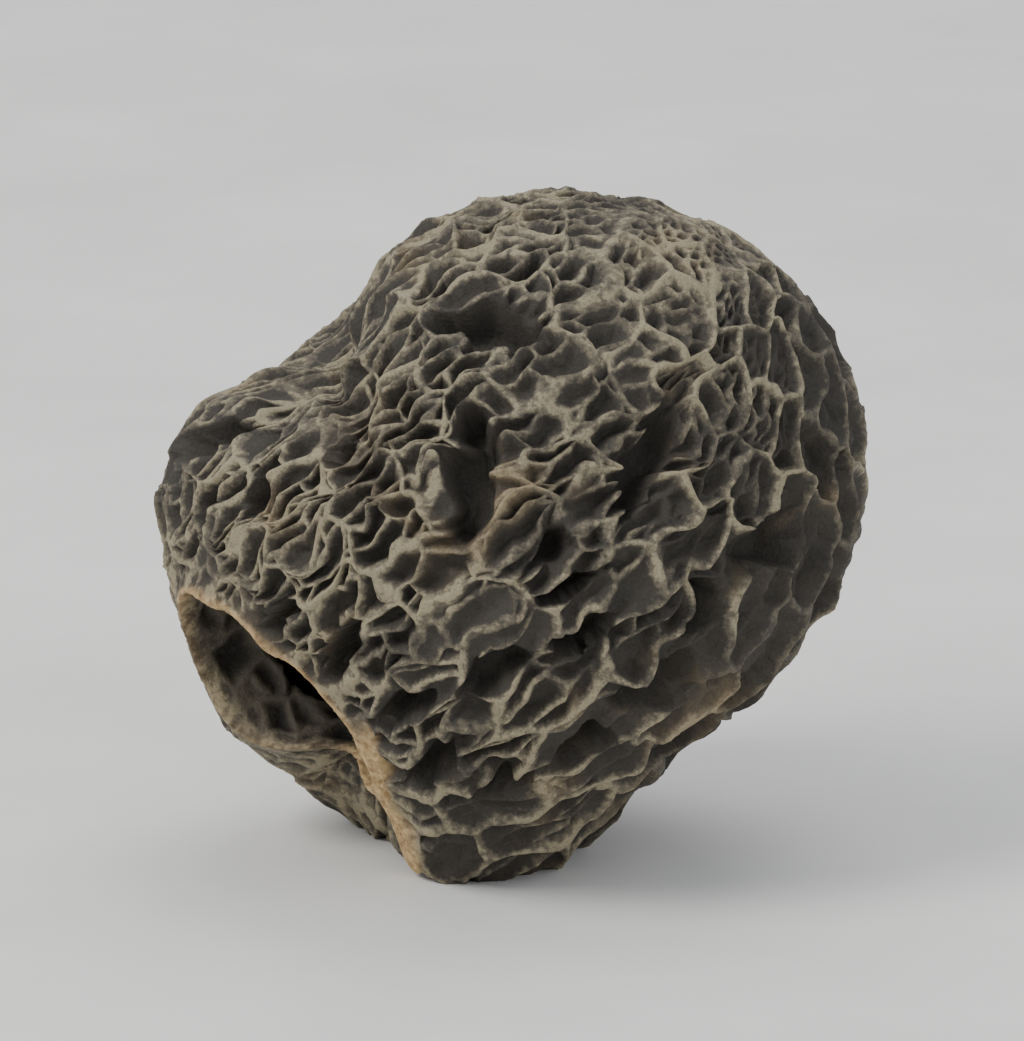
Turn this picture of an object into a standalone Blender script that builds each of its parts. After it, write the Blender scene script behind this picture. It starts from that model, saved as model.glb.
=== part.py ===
"""A dried morel mushroom: one hollow, ridged cap, lying the way it would on a table.

The whole thing grew as one piece, so it is one closed body. Its outside is a honeycomb: a net of
ridges over a lumpy egg-shaped form, with a sunken pit in each mesh of the net. Its inside is one
hollow, open at the lower left, where the stem was cut off flush with the cap.
Metres, +Z up, +X along the longest side, with the origin on the surface that it lies on.
"""

import math

import bmesh
import bpy
from mathutils import Vector

# The cap's form: an egg whose long axis rises from the cut stem to the tip.
CAP_LENGTH = 0.0366
CAP_BREADTH = 0.0312
CAP_DEPTH = 0.0284
CAP_MIDDLE = Vector((0.00026, -0.00005, 0.0161))
TIP_RISE = math.radians(40)
TIP_WARD = Vector((math.cos(TIP_RISE), 0, math.sin(TIP_RISE)))
UP_WARD = Vector((-math.sin(TIP_RISE), 0, math.cos(TIP_RISE)))

# The net of ridges. A pit is longer towards the tip than across by one over PIT_SQUASH.
PITS = 320
PIT_SQUASH = 0.6
PIT_DEPTH = 0.0024
PIT_DEPTH_SPREAD = 0.0005
RIDGE_UNEVEN = 0.0003
MEANDER = 0.075
CROWDING = 0.2
CROWDED_WARD = Vector((-0.78, -0.1, 0.62)).normalized()
STRAY = 0.75
SETTLING_ROUNDS = 4

# Where it lay to dry: crests this near the table were pressed onto it, and beyond it by PRESSED,
# and within FOOT of the place below its weight the pits were pressed shut.
SETTLED = 0.0013
PRESSED = 0.0006
FOOT = 0.0019

# The hollow, and the mouth that the cut stem leaves.
WALL = 0.0013
MOUTH_WARD = Vector((-0.798, -0.347, -0.492)).normalized()
MOUTH_ALONG = Vector((0.578, -0.211, -0.788)).normalized()
MOUTH_AWAY = 0.0158
MOUTH_LENGTH = 0.0138
MOUTH_WIDTH = 0.0104
MOUTH_SIDES = 20
MOUTH_CRUMPLE = 0.07
MOUTH_CRUMPLE_SIZE = 2.2
STEM_RING = 0.0007
RING_SHALLOWS = 0.4
MOUTH_SUNK = 0.0012
MOUTH_SUNK_SPREAD = 1.5
FAR_FROM_MOUTH = 9.0

DRIED_CAP = (0.052, 0.043, 0.032, 1.0)
DRIED_ROUGHNESS = 0.72
SHARP_RIDGE = math.radians(35)
GOLDEN_ANGLE = math.pi * (3 - math.sqrt(5))


def toward(azimuth, elevation):
    """The unit vector at these angles: azimuth from +X towards +Y, elevation from level."""
    a, e = math.radians(azimuth), math.radians(elevation)
    return Vector((math.cos(e) * math.cos(a), math.cos(e) * math.sin(a), math.sin(e)))


# What drying did to the egg: where, how wide an angle, and how far out (or in, if negative).
LOBES = (
    (toward(180, 17), math.radians(17), 0.0010),  # left shoulder
    (toward(163, 43), math.radians(15), -0.0034),  # fold above the shoulder, behind
    (toward(195, 42), math.radians(14), -0.0036),  # the same fold, in front
    (toward(226, 36), math.radians(11), -0.0016),  # where the fold runs out
    (toward(186, -8), math.radians(18), 0.0004),  # left cheek
    (toward(172, -42), math.radians(15), 0.0006),  # lobe behind the mouth
    (toward(188, -56), math.radians(13), -0.0040),  # notch between that lobe and the base
    (toward(216, -36), math.radians(22), -0.0018),  # pulled in along the mouth
    (toward(345, -48), math.radians(30), -0.0019),  # flattened lower right
    (toward(20, -20), math.radians(24), -0.0008),
    (toward(290, 30), math.radians(18), -0.0010),  # shallow dent in front
    (toward(60, 35), math.radians(26), -0.0014),  # sunken back
    (toward(110, 5), math.radians(20), 0.0009),
    (toward(330, 55), math.radians(22), 0.0006),
)

# Unevenness made of crossing waves: their number, how their lengths differ, and each one's size.
RIPPLE_WAVES = 9
RIPPLE_SPREAD = 0.4
RIPPLE_SHIFT = 1.7
LUMP = 0.0003
LUMP_SIZE = 1.1
MEANDER_SIZE = 1.2
STRAY_SIZE = 0.21
UNEVEN_SIZE = 0.28
DEPTH_SIZE = 0.5


def around_sphere(count, start=0.0):
    """This many directions, spread evenly."""
    ways = []
    for i in range(count):
        height = 1 - (2 * i + 1) / count
        flat = math.sqrt(1 - height * height)
        turn = start + i * GOLDEN_ANGLE
        ways.append(Vector((flat * math.cos(turn), flat * math.sin(turn), height)))
    return ways


def ripple(point, size, kind):
    """Smooth bumps of about this size, from -1 to 1: waves that cross from all sides."""
    total = 0.0
    for i, ward in enumerate(around_sphere(RIPPLE_WAVES, kind)):
        pitch = 2 * math.pi / size * (1 + RIPPLE_SPREAD * (i / RIPPLE_WAVES - 0.5))
        total += math.sin(pitch * point.dot(ward) + kind * (i + 1) * RIPPLE_SHIFT)
    return total / math.sqrt(2 * RIPPLE_WAVES)


def wander(point, size, kind):
    """Three ripples at once, for pushing a direction sideways."""
    return Vector([ripple(point, size, kind + axis) for axis in range(3)])


def mouth_nearness(way):
    """0 at the middle of the mouth, 1 at its edge, and more outside it."""
    ahead = way.dot(MOUTH_WARD)
    if ahead <= 0:
        return FAR_FROM_MOUTH
    at_edge = way * (MOUTH_AWAY / ahead)
    along = at_edge.dot(MOUTH_ALONG) / (MOUTH_LENGTH / 2)
    across = at_edge.dot(MOUTH_WARD.cross(MOUTH_ALONG)) / (MOUTH_WIDTH / 2)
    return min(math.hypot(along, across), FAR_FROM_MOUTH)


def crest_reach(way):
    """How far the ridges' crests stand from the cap's middle in this direction."""
    egg = Vector(
        (
            way.dot(TIP_WARD) / (CAP_LENGTH / 2),
            way.y / (CAP_DEPTH / 2),
            way.dot(UP_WARD) / (CAP_BREADTH / 2),
        )
    )
    reach = 1 / egg.length
    for middle, spread, amount in LOBES:
        reach += amount * math.exp(-((way.angle(middle) / spread) ** 2))
    reach += LUMP * ripple(way, LUMP_SIZE, 1)
    return reach - MOUTH_SUNK * math.exp(-((mouth_nearness(way) / MOUTH_SUNK_SPREAD) ** 4))


def stretched(point):
    """The direction of this point once the ball it is on is pulled long along the cap's axis."""
    return (point + (1 / PIT_SQUASH - 1) * point.dot(TIP_WARD) * TIP_WARD).normalized()


def hull_of(points):
    """The triangles that join each point to its neighbours."""
    bm = bmesh.new()
    for p in points:
        bm.verts.new(p)
    bmesh.ops.convex_hull(bm, input=list(bm.verts), use_existing_faces=False)
    bm.verts.ensure_lookup_table()
    return bm


def pit_middles():
    """A point on the unit ball for each pit, evenly spread at first and then settled like foam."""
    points = [
        (way + STRAY / math.sqrt(PITS) * wander(way, STRAY_SIZE, 11)).normalized()
        for way in around_sphere(PITS)
    ]
    for _ in range(SETTLING_ROUNDS):
        hull = hull_of(points)
        points = []
        for v in hull.verts:
            around = [e.other_vert(v).co for e in v.link_edges]
            points.append(v.co.lerp(sum(around, Vector()) / len(around), 0.5).normalized())
        hull.free()
    return points


def meandered(way):
    """The direction as the drying left it: crowded at the upper left, and wavering."""
    crowded = (way + CROWDING * CROWDED_WARD).normalized()
    return (crowded + MEANDER * wander(crowded, MEANDER_SIZE, 21)).normalized()


def ridge_net():
    """The ridges' crests as one mesh: a corner where ridges meet, and a face for each pit."""
    hull = hull_of(pit_middles())
    net = bmesh.new()
    corners = {}
    for face in hull.faces:
        way = meandered(stretched(face.calc_center_median()))
        uneven = RIDGE_UNEVEN * ripple(way, UNEVEN_SIZE, 31)
        corner = CAP_MIDDLE + way * (crest_reach(way) + uneven)
        if corner.z < SETTLED:
            corner.z = -PRESSED
        corners[face] = net.verts.new(corner)
    for v in hull.verts:
        side = v.co.orthogonal().normalized()
        other = v.co.normalized().cross(side)

        def turn(face, at=v.co.copy(), side=side, other=other):
            step = face.calc_center_median() - at
            return math.atan2(step.dot(other), step.dot(side))

        net.faces.new([corners[f] for f in sorted(v.link_faces, key=turn)])
    hull.free()
    bmesh.ops.recalc_face_normals(net, faces=list(net.faces))
    return net


def sink_pits(net):
    """The middle of each face of the net goes down, except round the mouth and underfoot."""
    for face in list(net.faces):
        middle = face.calc_center_median()
        way = (middle - CAP_MIDDLE).normalized()
        underfoot = middle.z < 0 and (middle - CAP_MIDDLE).xy.length < FOOT
        nearest = min(mouth_nearness((v.co - CAP_MIDDLE).normalized()) for v in face.verts)
        from_ring = (nearest - 1) * MOUTH_WIDTH / 2 - STEM_RING
        if underfoot or from_ring < 0:
            continue
        depth = PIT_DEPTH + PIT_DEPTH_SPREAD * ripple(way, DEPTH_SIZE, 41)
        depth *= min(1, RING_SHALLOWS + from_ring / PIT_DEPTH / 2)
        bottom = bmesh.ops.poke(net, faces=[face])["verts"][0]
        bottom.co = middle - way * depth


def collection(name):
    made = bpy.data.collections.new(name)
    bpy.context.scene.collection.children.link(made)
    return made


def object_from(bm, name, where):
    mesh = bpy.data.meshes.new(name)
    bm.to_mesh(mesh)
    bm.free()
    made = bpy.data.objects.new(name, mesh)
    where.objects.link(made)
    return made


def dried_flesh():
    material = bpy.data.materials.new("dried morel flesh")
    material.use_nodes = True
    surface = material.node_tree.nodes["Principled BSDF"]
    surface.inputs["Base Color"].default_value = DRIED_CAP
    surface.inputs["Roughness"].default_value = DRIED_ROUGHNESS
    surface.inputs["Metallic"].default_value = 0.0
    return material


def hollow_cutter(where):
    """The space inside the cap, one wall in from the pits' floors."""
    bm = bmesh.new()
    bmesh.ops.create_icosphere(bm, subdivisions=3, radius=1)
    for v in bm.verts:
        way = v.co.normalized()
        v.co = CAP_MIDDLE + way * (crest_reach(way) - PIT_DEPTH - PIT_DEPTH_SPREAD - WALL)
    return object_from(bm, "hollow", where)


def mouth_cutter(where):
    """The way in through the cut stem: an oval, crumpled tube from the hollow outwards."""
    bm = bmesh.new()
    bmesh.ops.create_cone(
        bm, cap_ends=True, segments=MOUTH_SIDES, radius1=1, radius2=1, depth=MOUTH_AWAY
    )
    across = MOUTH_WARD.cross(MOUTH_ALONG)
    for v in bm.verts:
        crumple = 1 + MOUTH_CRUMPLE * ripple(v.co.xy.to_3d(), MOUTH_CRUMPLE_SIZE, 51)
        v.co = (
            CAP_MIDDLE
            + MOUTH_ALONG * (v.co.x * crumple * MOUTH_LENGTH / 2)
            + across * (v.co.y * crumple * MOUTH_WIDTH / 2)
            + MOUTH_WARD * (v.co.z + MOUTH_AWAY)
        )
    return object_from(bm, "mouth", where)


def floor_cutter(where):
    """What lies below the table's surface, which the lowest crests were pressed flat on."""
    bm = bmesh.new()
    bmesh.ops.create_cube(bm, size=CAP_LENGTH * 1.5)
    bmesh.ops.translate(bm, verts=list(bm.verts), vec=(0, 0, -CAP_LENGTH * 0.75))
    return object_from(bm, "table", where)


def cut(target, cutter):
    cutter.hide_render = True
    cutter.display_type = "WIRE"
    modifier = target.modifiers.new("cut " + cutter.name, "BOOLEAN")
    modifier.operation = "DIFFERENCE"
    modifier.object = cutter


def morel(where, cutters):
    net = ridge_net()
    sink_pits(net)
    bmesh.ops.triangulate(net, faces=list(net.faces))
    cap = object_from(net, "morel", where)
    cap.data.shade_smooth()
    cap.data.set_sharp_from_angle(angle=SHARP_RIDGE)
    cap.data.materials.append(dried_flesh())
    for cutter in (hollow_cutter(cutters), mouth_cutter(cutters), floor_cutter(cutters)):
        cut(cap, cutter)
    return cap


def main():
    for old in list(bpy.data.objects):
        bpy.data.objects.remove(old)
    morel(collection("morel mushroom"), collection("cutters"))


main()
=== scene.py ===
"""Morel mushroom: a dried, hollow cap with its honeycomb of ridges, and the studio it lies in."""

import math

import bmesh
import bpy
import numpy as np
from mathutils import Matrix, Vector


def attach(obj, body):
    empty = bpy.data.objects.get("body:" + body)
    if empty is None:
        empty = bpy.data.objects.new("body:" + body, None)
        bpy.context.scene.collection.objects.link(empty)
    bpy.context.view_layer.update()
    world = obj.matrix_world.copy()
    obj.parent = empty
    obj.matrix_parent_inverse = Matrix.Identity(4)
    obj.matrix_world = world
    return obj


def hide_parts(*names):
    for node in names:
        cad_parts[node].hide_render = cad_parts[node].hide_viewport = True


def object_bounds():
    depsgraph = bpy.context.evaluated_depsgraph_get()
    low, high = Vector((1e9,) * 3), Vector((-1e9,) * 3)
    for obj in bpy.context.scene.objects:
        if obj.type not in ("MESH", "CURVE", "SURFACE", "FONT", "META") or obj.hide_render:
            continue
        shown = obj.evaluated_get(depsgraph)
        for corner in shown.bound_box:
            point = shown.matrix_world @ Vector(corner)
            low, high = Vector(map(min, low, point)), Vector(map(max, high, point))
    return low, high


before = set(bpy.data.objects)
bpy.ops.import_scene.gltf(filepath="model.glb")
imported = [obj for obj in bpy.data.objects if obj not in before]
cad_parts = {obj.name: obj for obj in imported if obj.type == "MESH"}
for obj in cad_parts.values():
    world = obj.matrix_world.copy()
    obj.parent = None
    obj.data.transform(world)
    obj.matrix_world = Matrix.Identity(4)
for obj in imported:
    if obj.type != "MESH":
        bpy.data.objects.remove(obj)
CAD_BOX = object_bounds()

bl_info = {
    "name": "Morel Mushroom",
    "version": (1, 0, 0),
    "blender": (4, 5, 0),
    "location": "View3D > Sidebar > Morel",
    "description": "Builds a dried morel cap and a plain studio around it",
    "category": "Add Mesh",
}

# The cap's form, in metres: an egg whose long axis rises from the cut stem to the tip.
CAP_LENGTH = 0.0366
CAP_BREADTH = 0.0312
CAP_DEPTH = 0.0284
CAP_MIDDLE = np.array((0.00026, -0.00005, 0.0161))
TIP_RISE = math.radians(40)
TIP_WARD = np.array((math.cos(TIP_RISE), 0, math.sin(TIP_RISE)))
UP_WARD = np.array((-math.sin(TIP_RISE), 0, math.cos(TIP_RISE)))
GOLDEN_ANGLE = math.pi * (3 - math.sqrt(5))

# The net of ridges and the lower folds between them: how many meshes each has, how much each is
# pulled long towards the tip, and how far the meshes stray from an even spread.
PITS = 320
FOLDS = 1500
PIT_SQUASH = 0.6
FOLD_SQUASH = 0.33
PIT_STRAY = 0.75
FOLD_STRAY = 1.0
STRAY_SIZE = 0.21
SETTLING_ROUNDS = 4
CROWDING = 0.2
MEANDER = 0.075
MEANDER_SIZE = 1.2

# How the ridges and the folds waver: how far, over what size, and which waves. Sizes of ripples
# are on a ball of radius 1.
RIDGE_WAVES = ((0.029, 0.21, 61), (0.011, 0.09, 71))
FOLD_WAVES = ((0.021, 0.16, 81), (0.008, 0.07, 91))
WIDTH_SPREAD = 0.4
WIDTH_SIZE = 0.30

# How deep the pits are.
PIT_DEPTH = 0.0021
PIT_DEPTH_SPREAD = 0.0005
PIT_DEPTH_SIZE = 0.5
FOLDED_SHALLOWER = 0.0008
BIG_PIT_DEEPER = 0.0010
DEEPEST = 0.0030
BIG_PIT_REACH = 0.0020
BIG_PIT_RAGGED = 0.30
BIG_PIT_RAGGED_SIZE = 0.14
BIG_PIT_FLOOR = (0.7, 1.1)

# How the folds fade towards the lower right: from the first value of density to the second.
DENSE_RAGGED = 0.3
DENSE_RAGGED_SIZE = 0.5
FOLD_FADE = (-0.7, 0.15)
LEAST_FOLDS = 0.45
# Painted shade on the crests, deepening towards the lower right away from the key light: between these two
# values of density, down to the least light.
PAINTED_SHADE_FADE = (-0.9, -0.2)
LEAST_PAINTED_LIGHT = 0.8
# How much darker the colour is painted in the pits that stand out: painted shade.
BIG_PIT_PAINTED_SHADE = 0.6
UNEVEN_SIZE = 0.16
LEAN_SIZE = 0.21

# Where the stem was cut off flush, and the hollow behind it.
WALL = 0.0042
NECK_SHARE = 0.72
MOUTH_WIDTH = 0.0104
MOUTH_LENGTH = 0.0138
MOUTH_AWAY = 0.0158
MOUTH_SUNK = 0.0012
MOUTH_SUNK_SPREAD = 1.5
MOUTH_GATHER = 0.55
MOUTH_GATHER_SPREAD = 0.9
NECK_TURN = 0.4
NECK_ROUNDS = 6
NECK_START = 0.009
FAR_OFF = 9.0

# Crests nearer the table than the first height sink by the drop, fully at the second.
SETTLING_FROM = 0.0034
SETTLED = 0.0013
SETTLING_DROP = 0.001425

# Where things begin and end near the mouth, in shares of the way from its middle to its edge.
RIDGES_FROM = (1.08, 1.30)
RING_INNER = (0.95, 0.99)
RING_OUTER = (1.02, 1.11)
LEAST_RING = 0.25
RING_PALES = (-0.15, 0.2)
LINING_TO = (0.92, 0.97)
STEM_INNER = (0.80, 0.90)
STEM_OUTER = (1.2, 1.35)
STEM_ALONG = (0.22, 0.34)
STEM_SMOOTHER = 0.75

# Unevenness made of crossing waves.
LUMP = 0.0003
LUMP_SIZE = 1.1
RIPPLE_WAVES = 9
RIPPLE_SPREAD = 0.4
RIPPLE_SHIFT = 1.7

# The mesh.
BALL_ROUNDS = 9
MOST_TRIANGLES = 194000
KEPT_ATTRIBUTES = ("position", "ridge", "ring", "stem", "lining", "tan", "painted_light")
CHUNK = 16384
TINY = 1e-6


def unit(vector):
    return np.asarray(vector, float) / np.linalg.norm(vector)


MOUTH_WARD = unit((-0.798, -0.347, -0.492))
MOUTH_ALONG = unit((0.578, -0.211, -0.788))
MOUTH_ACROSS = np.cross(MOUTH_WARD, MOUTH_ALONG)
PALE_RIM_WARD = unit((0.45, -0.55, 0.65))
CROWDED_WARD = unit((-0.78, -0.1, 0.62))
FOLDED_WARD = unit((-0.85, -0.2, 0.35))

# What drying did to the egg: azimuth, elevation and spread in degrees, and how far out.
LOBES = (
    (180, 17, 17, 0.0010),
    (163, 43, 15, -0.0034),
    (195, 42, 14, -0.0036),
    (226, 36, 11, -0.0016),
    (186, -8, 18, 0.0004),
    (172, -42, 15, 0.0006),
    (188, -56, 13, -0.0040),
    (216, -36, 22, -0.0018),
    (345, -48, 30, -0.0019),
    (20, -20, 24, -0.0008),
    (290, 30, 18, -0.0010),
    (60, 35, 26, -0.0014),
    (110, 5, 20, 0.0009),
    (330, 55, 22, 0.0006),
)

# The pits that stand out: azimuth, elevation, half length and half width in mm, and the turn of
# the long side from level, anticlockwise as seen from outside.
BIG_PITS = (
    (260, 25, 3.3, 1.25, 88),  # upright slot in front
    (322, 8, 1.9, 1.5, 42),
    (307, -3, 1.5, 1.0, 51),
    (301, -19, 2.8, 1.25, 22),
    (265, -13, 2.3, 1.0, 33),
    (281, 4, 1.9, 0.40, 21),  # slit
    (261, 55, 3.1, 1.1, -11),
    (299, 27, 3.1, 1.1, 53),
    (276, 12, 1.7, 0.75, 35),
    (191, 21, 2.3, 1.0, 29),
    (200, 10, 1.2, 0.7, 52),
    (212, 15, 1.1, 0.7, 57),
    (232, -13, 3.0, 0.7, 53),
    (247, -22, 1.9, 0.8, 38),
    (267, -42, 2.0, 0.8, 26),
    (248, -38, 2.6, 0.8, 50),
    (227, 26, 0.9, 0.7, 76),
    (218, -8, 2.2, 0.7, 34),
    (282, -6, 1.9, 0.7, 30),
    (286, -34, 1.8, 0.8, 44),
)

# The bare strip of stem below the mouth: its ends as azimuth and elevation.
STEM_TOP = (221, -37)
STEM_FOOT = (222, -62)
STEM_HALF_WIDTH = 0.085
STEM_CORE = 0.6

# Where the skin is rubbed or dried to tan, and, along the cut rim, a painted warm highlight on the crests:
# azimuth, elevation and spread in degrees, and how much.
TAN_PATCHES = (
    (318, -28, 10, 0.8),  # worn lower right
    (266, 23, 5, 0.4),
    (254, 9, 6, 0.4),
    # Painted warm highlight on the crests along the cut rim.
    (205, -20, 14, 0.7),  # along the cut rim
    (230, 32, 9, 0.4),
)

# Sizes of the skin's patterns, in metres. The grain of real dried flesh is finer still, and is
# drawn this coarse so that it shows.
WEAR_SIZE = 0.0035
MOTTLE_SIZE = 0.00045
GRAIN_SIZE = 0.00014
WARMTH_SIZE = 0.0052
LINING_BEND = 0.0011
LINING_BEND_SIZE = 0.002

# The studio, in metres.
FLOOR_WIDTH = 1.6
FLOOR_DEPTH = 0.5
FLOOR_HEIGHT = 0.6
FLOOR_BEND = 0.25
FLOOR_STEPS = 24
PULP_SIZE = 0.0006
CLOUD_SIZE = 0.02
TOP_SHARE = 0.35
SKY_COLOUR = (0.9, 0.94, 1.0, 1.0)


def toward(azimuth, elevation):
    """The unit vector at these angles: azimuth from +X towards +Y, elevation from level."""
    a, e = math.radians(azimuth), math.radians(elevation)
    return np.array((math.cos(e) * math.cos(a), math.cos(e) * math.sin(a), math.sin(e)))


def along_rows(a, b):
    return np.einsum("ij,ij->i", a, b)


def unit_rows(rows):
    return rows / np.linalg.norm(rows, axis=1)[:, None]


def smooth_step(low, high, value):
    """0 at low, 1 at high, and smooth between. High may be the smaller of the two."""
    t = np.clip((value - low) / (high - low), 0, 1)
    return t * t * (3 - 2 * t)


def bell(ways, azimuth, elevation, spread):
    """1 in the direction of these angles, falling to 0 around it."""
    angle = np.arccos(np.clip(ways @ toward(azimuth, elevation), -1, 1))
    return np.exp(-((angle / math.radians(spread)) ** 2))


def around_sphere(count, start=0.0):
    """This many directions, spread evenly."""
    i = np.arange(count)
    height = 1 - (2 * i + 1) / count
    flat = np.sqrt(1 - height**2)
    turn = start + i * GOLDEN_ANGLE
    return np.stack((flat * np.cos(turn), flat * np.sin(turn), height), 1)


def ripple(ways, size, kind):
    """Smooth bumps of about this size, from -1 to 1: waves that cross from all sides."""
    total = np.zeros(len(ways))
    for i, ward in enumerate(around_sphere(RIPPLE_WAVES, kind)):
        pitch = 2 * math.pi / size * (1 + RIPPLE_SPREAD * (i / RIPPLE_WAVES - 0.5))
        total += np.sin(pitch * (ways @ ward) + kind * (i + 1) * RIPPLE_SHIFT)
    return total / math.sqrt(2 * RIPPLE_WAVES)


def wander(ways, size, kind):
    """Three ripples at once, for pushing a direction sideways."""
    return np.stack([ripple(ways, size, kind + axis) for axis in range(3)], 1)


def wavered(ways, waves):
    """Directions pushed sideways by each of these waves: how far, its size and its kind."""
    moved = ways
    for far, size, kind in waves:
        moved = moved + far * wander(ways, size, kind)
    return unit_rows(moved)


def mouth_nearness(ways):
    """0 at the middle of the mouth, 1 at its edge, and more outside it."""
    ahead = ways @ MOUTH_WARD
    at_edge = ways * (MOUTH_AWAY / np.maximum(ahead, 1e-3))[:, None]
    along = at_edge @ MOUTH_ALONG / (MOUTH_LENGTH / 2)
    across = at_edge @ MOUTH_ACROSS / (MOUTH_WIDTH / 2)
    return np.where(ahead > 0, np.minimum(np.hypot(along, across), FAR_OFF), FAR_OFF)


def crest_reach(ways):
    """How far the ridges' crests stand from the cap's middle in each direction."""
    egg = (
        ways @ TIP_WARD / (CAP_LENGTH / 2),
        ways[:, 1] / (CAP_DEPTH / 2),
        ways @ UP_WARD / (CAP_BREADTH / 2),
    )
    reach = 1 / np.sqrt(egg[0] ** 2 + egg[1] ** 2 + egg[2] ** 2)
    for azimuth, elevation, spread, amount in LOBES:
        reach += amount * bell(ways, azimuth, elevation, spread)
    reach += LUMP * ripple(ways, LUMP_SIZE, 1)
    return reach - MOUTH_SUNK * np.exp(-((mouth_nearness(ways) / MOUTH_SUNK_SPREAD) ** 4))


def squashed(ways, squash):
    return ways - np.outer((1 - squash) * (ways @ TIP_WARD), TIP_WARD)


def cell_middles(count, stray, kind):
    """A point on the unit ball for each cell, evenly spread at first and then settled like foam."""
    points = around_sphere(count)
    points = unit_rows(points + stray / math.sqrt(count) * wander(points, STRAY_SIZE, kind))
    for _ in range(SETTLING_ROUNDS):
        hull = bmesh.new()
        for point in points:
            hull.verts.new(point)
        bmesh.ops.convex_hull(hull, input=list(hull.verts), use_existing_faces=False)
        settled = []
        for v in hull.verts:
            around = [e.other_vert(v).co for e in v.link_edges]
            settled.append(v.co.lerp(sum(around, Vector()) / len(around), 0.5))
        hull.free()
        points = unit_rows(np.array(settled))
    return points


def meandered(ways):
    """The directions as the drying left them: crowded at the upper left, and wavering."""
    crowded = unit_rows(ways + CROWDING * CROWDED_WARD)
    return unit_rows(crowded + MEANDER * wander(crowded, MEANDER_SIZE, 21))


def from_walls(ways, radius, seeds, squash):
    """How far over the skin each point is from the wall round its cell, and which cell it is.
    The cells are round on a ball, which is then pulled long along the cap's axis."""
    pressed = squashed(ways, squash)
    shrunk = np.linalg.norm(pressed, axis=1)
    points = pressed / shrunk[:, None]
    away, cell = np.empty(len(ways)), np.empty(len(ways), int)
    for start in range(0, len(ways), CHUNK):
        part = slice(start, start + CHUNK)
        p, w = points[part], ways[part]
        apart = 2 - 2 * p @ seeds.T
        near = np.argpartition(apart, 4, axis=1)[:, :4]
        gap = np.take_along_axis(apart, near, 1)
        order = np.argsort(gap, 1)
        near, gap = np.take_along_axis(near, order, 1), np.take_along_axis(gap, order, 1)
        best = np.full(len(p), np.inf)
        for k in (1, 2, 3):
            across = seeds[near[:, k]] - seeds[near[:, 0]]
            span = np.linalg.norm(across, axis=1)
            slope = across / span[:, None]
            slope = squashed(slope - p * along_rows(slope, p)[:, None], squash)
            slope -= w * along_rows(slope, w)[:, None]
            real = radius[part] * shrunk[part] / np.maximum(np.linalg.norm(slope, axis=1), TINY)
            best = np.minimum(best, (gap[:, k] - gap[:, 0]) / (2 * span) * real)
        away[part], cell[part] = best, near[:, 0]
    return away, cell


def big_pits(outward, radius, away):
    """The walls' distances with no wall inside the pits that stand out, and how much each point
    is inside one."""
    floor = np.zeros(len(outward))
    ragged = BIG_PIT_RAGGED * ripple(outward, BIG_PIT_RAGGED_SIZE, 121)
    for azimuth, elevation, half_length, half_width, turn in BIG_PITS:
        middle = toward(azimuth, elevation)
        level = unit(np.cross((0, 0, 1), middle))
        up = np.cross(middle, level)
        t = math.radians(turn)
        along = outward @ (level * math.cos(t) + up * math.sin(t)) * radius / (half_length / 1000)
        across = outward @ (up * math.cos(t) - level * math.sin(t)) * radius / (half_width / 1000)
        off = np.where(outward @ middle > 0, np.hypot(along, across), FAR_OFF) + ragged
        away = np.maximum(away, (1 - off) * BIG_PIT_REACH)
        floor = np.maximum(floor, 1 - smooth_step(*BIG_PIT_FLOOR, off))
    return away, floor


def stem_strip(outward):
    """1 on the strip of bare stem that runs down from the mouth's lower end, 0 off it."""
    top, foot = toward(*STEM_TOP), toward(*STEM_FOOT)
    down = np.clip((outward - top) @ (foot - top) / ((foot - top) @ (foot - top)), 0, 1)
    off = np.linalg.norm(outward - (top + np.outer(down, foot - top)), axis=1)
    return 1 - smooth_step(STEM_CORE, 1.0, off / STEM_HALF_WIDTH)


def gathered(ways):
    """Directions drawn towards the mouth, so that the skin has points to spare for the hollow."""
    angle = np.arccos(np.clip(ways @ MOUTH_WARD, -1, 1))
    closer = angle * (1 - MOUTH_GATHER * np.exp(-((angle / MOUTH_GATHER_SPREAD) ** 2)))
    side = unit_rows(ways - np.outer(ways @ MOUTH_WARD, MOUTH_WARD) + 1e-12)
    return np.outer(np.cos(closer), MOUTH_WARD) + side * np.sin(closer)[:, None]


def cut_stem(outward, near, strip):
    """Where the flesh was cut: the rim round the mouth, and the stem below it."""
    facing = smooth_step(*RING_PALES, outward @ PALE_RIM_WARD - MOUTH_WARD @ PALE_RIM_WARD)
    ring = smooth_step(*RING_INNER, near) * (1 - smooth_step(*RING_OUTER, near))
    along = (outward @ MOUTH_ALONG) / np.maximum(outward @ MOUTH_WARD, 0.1)
    lower_end = smooth_step(*STEM_ALONG, along)
    lower_end = lower_end * smooth_step(*STEM_INNER, near) * (1 - smooth_step(*STEM_OUTER, near))
    return ring * (LEAST_RING + (1 - LEAST_RING) * facing), np.maximum(lower_end, strip)


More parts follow.
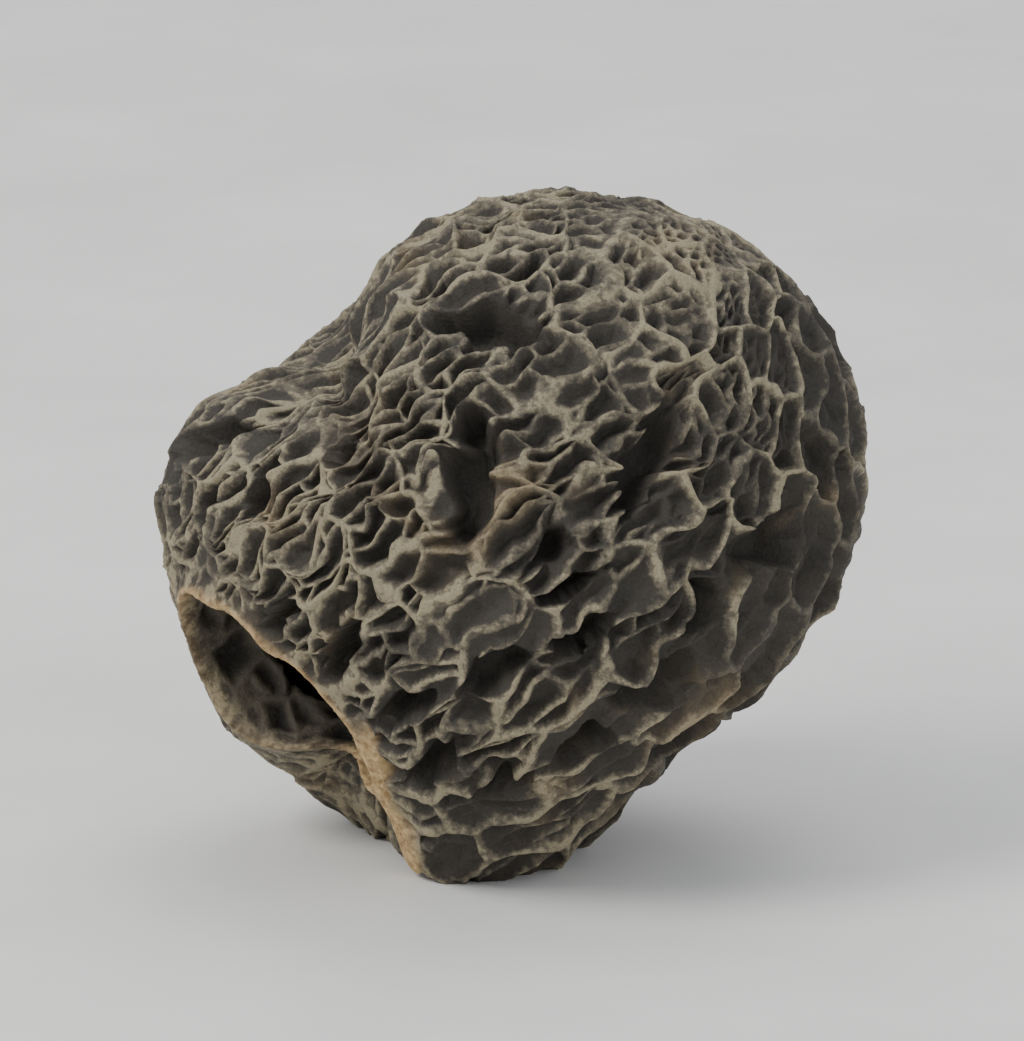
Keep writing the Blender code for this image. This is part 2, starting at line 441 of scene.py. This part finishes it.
def skin_form():
    """A dense ball of points carried to the cap's crest surface, in through the mouth and round
    the hollow, with all that the shaping needs stored on the points."""
    bm = bmesh.new()
    rounds = BALL_ROUNDS
    bmesh.ops.create_icosphere(bm, subdivisions=rounds, radius=1)
    mesh = bpy.data.meshes.new("morel form")
    bm.to_mesh(mesh)
    bm.free()
    base = np.empty(len(mesh.vertices) * 3)
    mesh.vertices.foreach_get("co", base)
    base = gathered(unit_rows(base.reshape(-1, 3)))
    outward = meandered(base)
    reach = crest_reach(outward)
    near = mouth_nearness(outward)

    pits = cell_middles(PITS, PIT_STRAY, 11)
    folds = cell_middles(FOLDS, FOLD_STRAY, 12)
    from_crest, cell = from_walls(wavered(base, RIDGE_WAVES), reach, pits, PIT_SQUASH)
    from_fold, _ = from_walls(wavered(base, FOLD_WAVES), reach, folds, FOLD_SQUASH)
    from_crest, floor = big_pits(outward, reach, from_crest)
    from_crest *= 1 + WIDTH_SPREAD * ripple(outward, WIDTH_SIZE, 51)

    # Dense low folds at the left and top thin out towards the lower right.
    dense = outward @ FOLDED_WARD + DENSE_RAGGED * ripple(outward, DENSE_RAGGED_SIZE, 33)
    fold_share = LEAST_FOLDS + (1 - LEAST_FOLDS) * smooth_step(*FOLD_FADE, dense)
    fold_share = fold_share * (1 - floor)
    # The crests are painted darker towards the lower right, away from the key light: painted shade.
    painted_light = LEAST_PAINTED_LIGHT + (1 - LEAST_PAINTED_LIGHT) * smooth_step(*PAINTED_SHADE_FADE, dense)
    pit_depth = PIT_DEPTH + PIT_DEPTH_SPREAD * ripple(pits, PIT_DEPTH_SIZE, 41)[cell]
    pit_depth = pit_depth - FOLDED_SHALLOWER * fold_share + BIG_PIT_DEEPER * floor
    strip = stem_strip(outward)
    ring, stem = cut_stem(outward, near, strip)
    tan = np.zeros(len(outward))
    for azimuth, elevation, spread, amount in TAN_PATCHES:
        tan += amount * bell(outward, azimuth, elevation, spread)

    place = CAP_MIDDLE + outward * reach[:, None]
    direction = outward.copy()
    inside_out(place, direction, outward, near)
    low = smooth_step(SETTLING_FROM, SETTLED, place[:, 2]) * (near > 1)
    place[:, 2] -= SETTLING_DROP * low

    mesh.vertices.foreach_set("co", place.astype(np.float32).ravel())
    scalars = {
        "from_crest": from_crest,
        "from_fold": from_fold,
        "pit_depth": np.minimum(pit_depth, DEEPEST),
        "uneven": 0.5 + 0.5 * ripple(outward, UNEVEN_SIZE, 31),
        "fold_share": fold_share,
        # Painted shade: the colour is darker still in the pits that stand out.
        "painted_light": painted_light * (1 - BIG_PIT_PAINTED_SHADE * floor),
        "outside": smooth_step(*RIDGES_FROM, near) * (1 - STEM_SMOOTHER * strip),
        "ring": ring,
        "stem": stem,
        "lining": 1 - smooth_step(*LINING_TO, near),
        "tan": tan * (near > 1),
    }
    for name, values in scalars.items():
        layer = mesh.attributes.new(name, "FLOAT", "POINT")
        layer.data.foreach_set("value", values.astype(np.float32))
    sideways = wander(base, LEAN_SIZE, 101)
    sideways -= direction * along_rows(sideways, direction)[:, None]
    for name, vectors in (("outward", direction), ("sideways", sideways)):
        layer = mesh.attributes.new(name, "FLOAT_VECTOR", "POINT")
        layer.data.foreach_set("vector", vectors.astype(np.float32).ravel())
    return mesh


def inside_out(place, direction, outward, near):
    """Carries the points inside the mouth's edge down the neck and round the hollow."""
    inner = np.flatnonzero(near < 1)
    ways, nearness = outward[inner], near[inner]
    flat = np.stack((ways @ MOUTH_ALONG, ways @ MOUTH_ACROSS), 1)
    turn = np.arctan2(flat[:, 1] / MOUTH_WIDTH, flat[:, 0] / MOUTH_LENGTH)
    side = (
        np.outer(np.cos(turn) * MOUTH_LENGTH / 2, MOUTH_ALONG)
        + np.outer(np.sin(turn) * MOUTH_WIDTH / 2, MOUTH_ACROSS)
    )
    edge = unit_rows(side + MOUTH_WARD * MOUTH_AWAY)
    edge_place = edge * crest_reach(edge)[:, None]

    # Where the neck meets the hollow, found by closing in on it.
    wide = np.linalg.norm(side, axis=1)
    ahead = np.full(len(inner), NECK_START)
    for _ in range(NECK_ROUNDS):
        way = unit_rows(side + np.outer(ahead, MOUTH_WARD))
        ahead = np.sqrt(np.maximum((crest_reach(way) - WALL) ** 2 - wide**2, TINY))
    neck_end = side + np.outer(ahead, MOUTH_WARD)

    down = (1 - nearness) / (1 - NECK_SHARE)
    along_neck = np.clip(down, 0, 1)[:, None]
    neck = edge_place * (1 - along_neck) + neck_end * along_neck
    cos_end = ahead / np.hypot(ahead, wide)
    cos_at = (1 + cos_end) * np.minimum(nearness / NECK_SHARE, 1) ** 2 - 1
    sin_at = np.sqrt(np.maximum(1 - cos_at**2, 0))
    round_way = np.outer(cos_at, MOUTH_WARD) + side / wide[:, None] * sin_at[:, None]
    hollow = round_way * (crest_reach(round_way) - WALL)[:, None]
    in_hollow = (nearness < NECK_SHARE)[:, None]
    place[inner] = CAP_MIDDLE + np.where(in_hollow, hollow, neck)
    inwards = -side / wide[:, None]
    turning = smooth_step(0, NECK_TURN, down)[:, None]
    facing = np.where(in_hollow, -round_way, ways * (1 - turning) + inwards * turning)
    direction[inner] = unit_rows(facing)


def add(tree, kind, inputs=(), out=0, stops=(), **settings):
    """Adds a node of this kind with its settings, and gives its output. Each input is a value or
    another node's output, by the socket's name or in order. Stops are a colour ramp's."""
    node = tree.nodes.new(kind)
    for name, value in settings.items():
        setattr(node, name, value)
    for socket, term in inputs.items() if isinstance(inputs, dict) else enumerate(inputs):
        if isinstance(term, bpy.types.NodeSocket):
            tree.links.new(term, node.inputs[socket])
        else:
            node.inputs[socket].default_value = term
    for i, (at, colour) in enumerate(stops):
        element = node.color_ramp.elements[i] if i < 2 else node.color_ramp.elements.new(1.0)
        element.position = at
        element.color = colour
    return node.outputs[out]


# What the shaping is set by: the socket's name and the setting's.
SHAPING = (
    ("Ridge Width", "ridge_width"),
    ("Ridge Steepness", "ridge_steepness"),
    ("Fold Width", "fold_width"),
    ("Fold Height", "fold_height"),
    ("Crest Unevenness", "crest_unevenness"),
    ("Lean", "lean"),
    ("Wrinkle Size", "wrinkle_size"),
    ("Wrinkle Depth", "wrinkle_depth"),
    ("Grain Size", "grain_size"),
    ("Grain Depth", "grain_depth"),
    ("Rim Thickening", "rim_thickening"),
    ("Lining Fold Size", "lining_fold_size"),
    ("Lining Fold Depth", "lining_fold_depth"),
)


def ridge_tree(material):
    """The nodes that sink the pits between the ridges, and curl and wrinkle the skin."""
    tree = bpy.data.node_groups.new("morel ridges", "GeometryNodeTree")
    tree.interface.new_socket("Geometry", in_out="INPUT", socket_type="NodeSocketGeometry")
    sockets = {
        name: tree.interface.new_socket(name, in_out="INPUT", socket_type="NodeSocketFloat")
        for name, _ in SHAPING
    }
    tree.interface.new_socket("Geometry", in_out="OUTPUT", socket_type="NodeSocketGeometry")
    start = add(tree, "NodeGroupInput").node.outputs
    math_node, vector_node, noise_node = "ShaderNodeMath", "ShaderNodeVectorMath", "ShaderNodeTexNoise"
    scalars = ("from_crest", "from_fold", "fold_share", "pit_depth", "uneven", "outside", "lining", "ring")
    kinds = dict.fromkeys(scalars, "FLOAT") | dict.fromkeys(("outward", "sideways"), "FLOAT_VECTOR")
    stored = {
        name: add(tree, "GeometryNodeInputNamedAttribute", {"Name": name}, "Attribute", data_type=kind)
        for name, kind in kinds.items()
    }

    def wall(distance, width):
        """1 on top of a wall, falling steeply to 0 in the pit beside it."""
        widths = add(tree, math_node, (distance, width), operation="DIVIDE")
        fall = add(tree, math_node, (widths, start["Ridge Steepness"]), operation="POWER")
        fall = add(tree, math_node, (fall, 1.0), operation="ADD")
        return add(tree, math_node, (1.0, fall), operation="DIVIDE")

    crest = wall(stored["from_crest"], start["Ridge Width"])
    fold = wall(stored["from_fold"], start["Fold Width"])
    fold = add(tree, math_node, (fold, start["Fold Height"]), operation="MULTIPLY")
    fold = add(tree, math_node, (fold, stored["fold_share"]), operation="MULTIPLY")
    height = add(tree, math_node, (crest, fold, 0.12), operation="SMOOTH_MAX")
    height = add(tree, math_node, (height, 1.0), operation="MINIMUM")
    depth = add(tree, math_node, (1.0, height), operation="SUBTRACT")
    depth = add(tree, math_node, (depth, stored["pit_depth"]), operation="MULTIPLY")
    notch = add(tree, math_node, (stored["uneven"], start["Crest Unevenness"]), operation="MULTIPLY")
    depth = add(tree, math_node, (notch, height, depth), operation="MULTIPLY_ADD")
    depth = add(tree, math_node, (depth, stored["outside"]), operation="MULTIPLY")

    # Inside, the flesh shrank to soft folds of its own.
    place = add(tree, "GeometryNodeInputPosition")
    loose = {"Vector": place, "Scale": 1 / LINING_BEND_SIZE, "Detail": 2.0}
    loose = add(tree, noise_node, loose, "Color")
    loose = add(tree, vector_node, {"Vector": loose, "Scale": LINING_BEND}, operation="SCALE")
    bent = add(tree, vector_node, (place, loose), operation="ADD")
    mesh_size = add(tree, math_node, (1.0, start["Lining Fold Size"]), operation="DIVIDE")
    net = {"Vector": bent, "Scale": mesh_size}
    net = add(tree, "ShaderNodeTexVoronoi", net, "Distance", feature="DISTANCE_TO_EDGE")
    net = add(tree, math_node, (net, start["Lining Fold Size"]), operation="MULTIPLY")
    folded = wall(net, start["Fold Width"])
    sunk = add(tree, math_node, (1.0, folded), operation="SUBTRACT")
    sunk = add(tree, math_node, (sunk, start["Lining Fold Depth"]), operation="MULTIPLY")
    depth = add(tree, math_node, (sunk, stored["lining"], depth), operation="MULTIPLY_ADD")
    skin_side = add(tree, math_node, (1.0, stored["lining"]), operation="SUBTRACT")
    shown = add(tree, math_node, (height, skin_side), operation="MULTIPLY")
    shown = add(tree, math_node, (folded, stored["lining"], shown), operation="MULTIPLY_ADD")

    # Wrinkles are deepest in the pits. The grain is even all over.
    scale = add(tree, math_node, (1.0, start["Wrinkle Size"]), operation="DIVIDE")
    wrinkle = {"Vector": place, "Scale": scale, "Detail": 4.0, "Roughness": 0.65, "Distortion": 0.6}
    wrinkle = add(tree, noise_node, wrinkle)
    wrinkle = add(tree, math_node, (wrinkle, 0.5), operation="SUBTRACT")
    wrinkle = add(tree, math_node, (wrinkle, start["Wrinkle Depth"]), operation="MULTIPLY")
    calm = add(tree, math_node, (height, -0.7, 1.0), operation="MULTIPLY_ADD")
    wrinkle = add(tree, math_node, (wrinkle, calm), operation="MULTIPLY")
    scale = add(tree, math_node, (1.0, start["Grain Size"]), operation="DIVIDE")
    grain = {"Vector": place, "Scale": scale, "Detail": 2.0, "Roughness": 0.6}
    grain = add(tree, noise_node, grain)
    grain = add(tree, math_node, (grain, 0.5), operation="SUBTRACT")
    grain = add(tree, math_node, (grain, start["Grain Depth"]), operation="MULTIPLY")
    rough = add(tree, math_node, (wrinkle, grain), operation="ADD")
    out = add(tree, math_node, (rough, depth), operation="SUBTRACT")
    out = add(tree, math_node, (stored["ring"], start["Rim Thickening"], out), operation="MULTIPLY_ADD")

    # The crests lean to one side, and so does the cut rim.
    leaning = add(tree, math_node, (stored["ring"], 0.6), operation="MULTIPLY")
    leaning = add(tree, math_node, (height, stored["outside"], leaning), operation="MULTIPLY_ADD")
    leaning = add(tree, math_node, (leaning, start["Lean"]), operation="MULTIPLY")
    push = {"Vector": stored["outward"], "Scale": out}
    push = add(tree, vector_node, push, operation="SCALE")
    lean = {"Vector": stored["sideways"], "Scale": leaning}
    lean = add(tree, vector_node, lean, operation="SCALE")
    moved = add(tree, vector_node, (place, push), operation="ADD")
    moved = add(tree, vector_node, (moved, lean), operation="ADD")
    parts = add(tree, "ShaderNodeSeparateXYZ", (moved,)).node.outputs
    settled = add(tree, math_node, (parts["Z"], 0.0), operation="MAXIMUM")
    moved = add(tree, "ShaderNodeCombineXYZ", (parts["X"], parts["Y"], settled))

    skin = {"Geometry": start["Geometry"], "Name": "ridge", "Value": shown}
    skin = add(tree, "GeometryNodeStoreNamedAttribute", skin, data_type="FLOAT", domain="POINT")
    skin = add(tree, "GeometryNodeSetPosition", {"Geometry": skin, "Position": moved})
    skin = add(tree, "GeometryNodeRealizeInstances", {"Geometry": skin})
    skin = add(tree, "GeometryNodeSetMaterial", {"Geometry": skin, "Material": material})
    tree.links.new(skin, tree.nodes.new("NodeGroupOutput").inputs[0])
    return tree, {key: sockets[name].identifier for name, key in SHAPING}


def linear(colour):
    """A hex colour as a screen shows it, turned into the amounts of light it stands for."""
    parts = [int(colour[i : i + 2], 16) / 255 for i in (1, 3, 5)]
    return [c / 12.92 if c <= 0.04045 else ((c + 0.055) / 1.055) ** 2.4 for c in parts] + [1.0]


def new_material(name):
    """A material with a Principled surface, its tree, and its Object coordinates."""
    material = bpy.data.materials.new(name)
    material.use_nodes = True
    tree = material.node_tree
    return material, tree, tree.nodes["Principled BSDF"], add(tree, "ShaderNodeTexCoord", out="Object")


def dried_flesh(s):
    """Leathery flesh, shrunk as it dried in the air. The pits look almost black and dull, and the
    crests, rubbed pale, are grey khaki and a little smoother. Shade is painted in as well: the crests
    are darker towards the lower right and in the pits that stand out, and the hollow's lining is
    darker than the skin."""
    material, tree, surface, where = new_material("air-dried morel flesh")
    math_node, noise_node, mix_node = "ShaderNodeMath", "ShaderNodeTexNoise", "ShaderNodeMix"
    ridge, painted_light, tan, lining, ring, stem = (
        add(tree, "ShaderNodeAttribute", out="Fac", attribute_name=name)
        for name in ("ridge", "painted_light", "tan", "lining", "ring", "stem")
    )
    patchy = {"Vector": where, "Scale": 1 / WEAR_SIZE, "Detail": 4.0, "Roughness": 0.55}
    patchy = add(tree, noise_node, patchy)
    fine = {"Vector": where, "Scale": 1 / MOTTLE_SIZE, "Detail": 4.0, "Roughness": 0.65}
    fine = add(tree, noise_node, fine)
    grain = {"Vector": where, "Scale": 1 / GRAIN_SIZE, "Detail": 2.0, "Roughness": 0.6}
    grain = add(tree, noise_node, grain)

    # Wear reaches further down the walls in some places than in others.
    uneven = add(tree, math_node, (patchy, 0.5), operation="SUBTRACT")
    wear_and_shade = add(tree, math_node, (uneven, 0.8, ridge), operation="MULTIPLY_ADD")
    uneven = add(tree, math_node, (fine, 0.5), operation="SUBTRACT")
    wear_and_shade = add(tree, math_node, (uneven, 0.75, wear_and_shade), operation="MULTIPLY_ADD")
    # The painted shade: darker towards the lower right and in the pits that stand out.
    wear_and_shade = add(tree, math_node, (wear_and_shade, painted_light), operation="MULTIPLY")
    stops = ((0.1, s.pit_colour), (0.72, s.wall_colour), (0.9, s.ridge_colour), (1.0, s.crest_colour))
    skin = add(tree, "ShaderNodeValToRGB", (wear_and_shade,), stops=stops)

    # Some places dried warmer, towards the tan of the flesh under the skin.
    warmth = {"Vector": where, "Scale": 1 / WARMTH_SIZE, "Detail": 3.0, "Roughness": 0.5}
    warmth = add(tree, noise_node, warmth | {"Distortion": 0.8})
    warmth = {"Value": warmth, "From Min": 0.55, "From Max": 0.75}
    warm = add(tree, "ShaderNodeMapRange", warmth, interpolation_type="SMOOTHSTEP")
    # The tan patches add to the warmth; the one along the cut rim is a painted warm highlight.
    warm = add(tree, math_node, (warm, tan), operation="ADD")
    warm = add(tree, math_node, (warm, 1.0), operation="MINIMUM")
    warm = add(tree, math_node, (warm, ridge), operation="MULTIPLY")
    warm = add(tree, math_node, (warm, 0.4), operation="MULTIPLY")
    skin = add(tree, mix_node, {0: warm, 6: skin, 7: s.tan_colour}, 2, data_type="RGBA")
    speck = add(tree, math_node, (grain, 0.5), operation="ADD")
    specks = add(tree, "ShaderNodeCombineColor", (speck, speck, speck))
    layers = {0: 1.0, 6: skin, 7: specks}
    skin = add(tree, mix_node, layers, 2, data_type="RGBA", blend_type="MULTIPLY")

    stops = ((0.3, s.cut_dark_colour), (0.62, s.cut_colour))
    cut = add(tree, "ShaderNodeValToRGB", (fine,), stops=stops)
    # The hollow's lining is painted darker than the outer skin, and darkest in the creases between its
    # folds: painted shade inside the mouth.
    stops = ((0.15, s.lining_crease_shade_colour), (0.95, s.shaded_lining_colour))
    inside = add(tree, "ShaderNodeValToRGB", (wear_and_shade,), stops=stops)
    colour = add(tree, mix_node, {0: lining, 6: skin, 7: inside}, 2, data_type="RGBA")
    cut_here = add(tree, math_node, (ring, stem), operation="MAXIMUM")
    colour = add(tree, mix_node, {0: cut_here, 6: colour, 7: cut}, 2, data_type="RGBA")
    tree.links.new(colour, surface.inputs["Base Color"])

    shine = add(tree, math_node, (ridge, -0.16, 0.8), operation="MULTIPLY_ADD")
    shine = add(tree, math_node, (grain, 0.1, shine), operation="MULTIPLY_ADD")
    tree.links.new(shine, surface.inputs["Roughness"])
    surface.inputs["IOR"].default_value = 1.46
    relief = add(tree, math_node, (grain, 0.5, fine), operation="MULTIPLY_ADD")
    relief = {"Strength": 0.8, "Distance": 0.0001, "Height": relief}
    tree.links.new(add(tree, "ShaderNodeBump", relief), surface.inputs["Normal"])
    return material


def studio_paper(s):
    """Uncoated seamless paper: an even pale grey, with the faint cloudiness of pressed pulp."""
    material, tree, surface, where = new_material("matte pressed paper")
    cloud = {"Vector": where, "Scale": 1 / CLOUD_SIZE, "Detail": 3.0, "Roughness": 0.55}
    cloud = add(tree, "ShaderNodeTexNoise", cloud)
    pulp = {"Vector": where, "Scale": 1 / PULP_SIZE, "Detail": 2.0, "Roughness": 0.55}
    pulp = add(tree, "ShaderNodeTexNoise", pulp)
    paler = [min(1, c * 1.06) for c in s.floor_colour[:3]] + [1.0]
    darker = [c * 0.95 for c in s.floor_colour[:3]] + [1.0]
    colour = add(tree, "ShaderNodeValToRGB", (cloud,), stops=((0.3, darker), (0.7, paler)))
    tree.links.new(colour, surface.inputs["Base Color"])
    surface.inputs["Roughness"].default_value = 0.85
    surface.inputs["IOR"].default_value = 1.5
    relief = {"Strength": 0.15, "Distance": 0.00005, "Height": pulp}
    tree.links.new(add(tree, "ShaderNodeBump", relief), surface.inputs["Normal"])
    return material


def metres(name, default, description):
    return bpy.props.FloatProperty(
        name=name, description=description, default=default, min=0, subtype="DISTANCE", unit="LENGTH"
    )


def plain_number(name, default, description):
    return bpy.props.FloatProperty(name=name, description=description, default=default, min=0)


def tint(name, default, description):
    return bpy.props.FloatVectorProperty(
        name=name, description=description, default=linear(default), size=4, subtype="COLOR", min=0, max=1
    )


class MorelSettings(bpy.types.PropertyGroup):
    """Sizes and colours of the cap."""

    ridge_width: metres("Ridge Width", 0.00038, "Half the thickness of a ridge at half its height")
    ridge_steepness: plain_number("Ridge Steepness", 2.6, "How suddenly a ridge falls to the pit beside it")
    fold_width: metres("Fold Width", 0.00031, "Half the thickness of a low fold at half its height")
    fold_height: plain_number("Fold Height", 0.93, "How high the folds stand, as a share of the ridges")
    crest_unevenness: metres("Crest Unevenness", 0.0005, "How far the crests dip")
    lean: metres("Lean", 0.00045, "How far the ridges curl over to one side")
    wrinkle_size: metres("Wrinkle Size", 0.0009, "Width of the fine wrinkles")
    wrinkle_depth: metres("Wrinkle Depth", 0.0006, "Height of the fine wrinkles")
    grain_size: metres("Grain Size", 0.00032, "Width of the skin's grain")
    grain_depth: metres("Grain Depth", 0.00015, "Height of the skin's grain")
    rim_thickening: metres("Rim Thickening", 0.0002, "How far the cut rim bulges")
    lining_fold_size: metres("Lining Fold Size", 0.0017, "Width of the folds inside the cap")
    lining_fold_depth: metres("Lining Fold Depth", 0.0006, "Height of the folds inside the cap")
    pit_colour: tint("Pit", "#3b3731", "Colour at the bottom of the pits")
    wall_colour: tint("Wall", "#38332c", "Colour of the ridges' sides")
    ridge_colour: tint("Ridge", "#665e4e", "Colour just below the crests")
    crest_colour: tint("Crest", "#8e846b", "Colour of the rubbed crests")
    tan_colour: tint("Tan", "#8f7a58", "Colour where the skin dried warm")
    cut_colour: tint("Cut Stem", "#c9ab7b", "Colour of the cut stem")
    cut_dark_colour: tint("Cut Stem Dark", "#7c5f3d", "Colour of the cut stem's hollows")
    # The lining's colours are darkened as painted shade inside the hollow.
    shaded_lining_colour: tint("Lining", "#4f483c", "Colour of the hollow's lining")
    lining_crease_shade_colour: tint("Lining Dark", "#1e1b17", "Colour of the lining's folds")


class StudioSettings(bpy.types.PropertyGroup):
    """The floor, the lights and where it is seen from."""

    distance: metres("Camera Distance", 0.42, "From the camera to the middle of the cap")
    elevation: bpy.props.FloatProperty(
        name="Camera Elevation",
        description="How far the camera looks down",
        default=math.radians(15),
        subtype="ANGLE",
        unit="ROTATION",
    )
    lens: plain_number("Focal Length", 300.0, "In millimetres, for a frame 36 mm wide")
    key: plain_number("Key Light", 1.45, "Power of the light at the upper left, in watts")
    fill: plain_number("Fill Light", 0.42, "Power of the light at the right, in watts")
    sky: plain_number("Sky", 0.72, "Strength of the even light from all round")
    floor_colour: tint("Floor", "#e8e7e3", "Colour of the floor and backdrop")


class OBJECT_OT_morel_cap(bpy.types.Operator):
    """Builds the dried cap, with its pits and its hollow, as one closed mesh"""

    bl_idname = "object.morel_cap"
    bl_label = "Build Cap"

    def execute(self, context):
        s = context.scene.morel
        form = bpy.data.objects.new("morel form", skin_form())
        context.scene.collection.objects.link(form)
        tree, identifiers = ridge_tree(dried_flesh(s))
        shape = form.modifiers.new("ridges", "NODES")
        shape.node_group = tree
        for key, identifier in identifiers.items():
            shape[identifier] = getattr(s, key)
        thin = form.modifiers.new("fewer triangles", "DECIMATE")
        thin.ratio = min(1.0, MOST_TRIANGLES / len(form.data.polygons))
        evaluated = form.evaluated_get(context.evaluated_depsgraph_get())
        mesh = bpy.data.meshes.new_from_object(evaluated)
        mesh.name = "morel_skin"
        bpy.data.objects.remove(form)
        for name in [a.name for a in mesh.attributes]:
            if name not in KEPT_ATTRIBUTES and not name.startswith("."):
                spare = mesh.attributes[name]
                if not spare.is_required:
                    mesh.attributes.remove(spare)
        mesh.shade_smooth()
        cap = bpy.data.objects.new("morel_skin", mesh)
        context.scene.collection.objects.link(cap)
        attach(cap, "root")
        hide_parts("morel")
        return {"FINISHED"}


def sweep(name):
    """A floor that curves up into a backdrop."""
    rows = [(-FLOOR_DEPTH, 0.0)]
    for i in range(FLOOR_STEPS + 1):
        a = i / FLOOR_STEPS * math.pi / 2
        back = FLOOR_DEPTH - FLOOR_BEND + FLOOR_BEND * math.sin(a)
        rows.append((back, FLOOR_BEND - FLOOR_BEND * math.cos(a)))
    rows.append((FLOOR_DEPTH, FLOOR_HEIGHT))
    vertices = [(x, y, z) for y, z in rows for x in (-FLOOR_WIDTH / 2, FLOOR_WIDTH / 2)]
    faces = [(2 * i, 2 * i + 1, 2 * i + 3, 2 * i + 2) for i in range(len(rows) - 1)]
    mesh = bpy.data.meshes.new(name)
    mesh.from_pydata(vertices, [], faces)
    mesh.shade_smooth()
    return mesh


def area_light(name, place, target, size, power, colour):
    light = bpy.data.lights.new(name, "AREA")
    light.shape = "DISK"
    light.size = size
    light.energy = power
    light.color = colour
    lamp = bpy.data.objects.new(name, light)
    lamp.location = place
    lamp.rotation_euler = (Vector(target) - Vector(place)).to_track_quat("-Z", "Y").to_euler()
    bpy.context.scene.collection.objects.link(lamp)


class SCENE_OT_morel_studio(bpy.types.Operator):
    """Lays the floor and sets up the lights and the camera"""

    bl_idname = "scene.morel_studio"
    bl_label = "Set Up Studio"

    def execute(self, context):
        s = context.scene.morel_studio
        low, high = CAD_BOX
        middle = (Vector(low) + Vector(high)) / 2
        floor = bpy.data.objects.new("studio_floor", sweep("studio_floor"))
        floor.data.materials.append(studio_paper(s))
        context.scene.collection.objects.link(floor)
        area_light("key", (-0.30, -0.16, 0.36), middle, 0.24, s.key, (1.0, 0.985, 0.96))
        area_light("fill", (0.36, -0.30, 0.20), middle, 0.40, s.fill, (0.96, 0.98, 1.0))
        area_light("top", (0.05, 0.14, 0.42), middle, 0.30, s.key * TOP_SHARE, (1.0, 1.0, 1.0))
        world = bpy.data.worlds.new("studio")
        context.scene.world = world
        world.use_nodes = True
        background = world.node_tree.nodes["Background"]
        background.inputs["Color"].default_value = SKY_COLOUR
        background.inputs["Strength"].default_value = s.sky
        camera = bpy.data.objects.new("camera", bpy.data.cameras.new("camera"))
        back = Vector((0, -math.cos(s.elevation), math.sin(s.elevation)))
        camera.location = middle + back * s.distance
        camera.rotation_euler = (-back).to_track_quat("-Z", "Y").to_euler()
        camera.data.lens = s.lens
        camera.data.sensor_width = 36
        camera.data.clip_start = 0.01
        context.scene.collection.objects.link(camera)
        context.scene.camera = camera
        return {"FINISHED"}


class VIEW3D_PT_morel(bpy.types.Panel):
    """The cap's and the studio's settings"""

    bl_label = "Morel"
    bl_space_type = "VIEW_3D"
    bl_region_type = "UI"
    bl_category = "Morel"

    def draw(self, context):
        for settings, operator in (
            (context.scene.morel, OBJECT_OT_morel_cap.bl_idname),
            (context.scene.morel_studio, SCENE_OT_morel_studio.bl_idname),
        ):
            column = self.layout.column()
            for name in settings.__annotations__:
                column.prop(settings, name)
            column.operator(operator)


CLASSES = (MorelSettings, StudioSettings, OBJECT_OT_morel_cap, SCENE_OT_morel_studio, VIEW3D_PT_morel)


def register():
    for cls in CLASSES:
        bpy.utils.register_class(cls)
    bpy.types.Scene.morel = bpy.props.PointerProperty(type=MorelSettings)
    bpy.types.Scene.morel_studio = bpy.props.PointerProperty(type=StudioSettings)


def unregister():
    del bpy.types.Scene.morel
    del bpy.types.Scene.morel_studio
    for cls in reversed(CLASSES):
        bpy.utils.unregister_class(cls)


def main():
    register()
    bpy.ops.object.morel_cap()
    bpy.ops.scene.morel_studio()


if __name__ == "__main__":
    main()
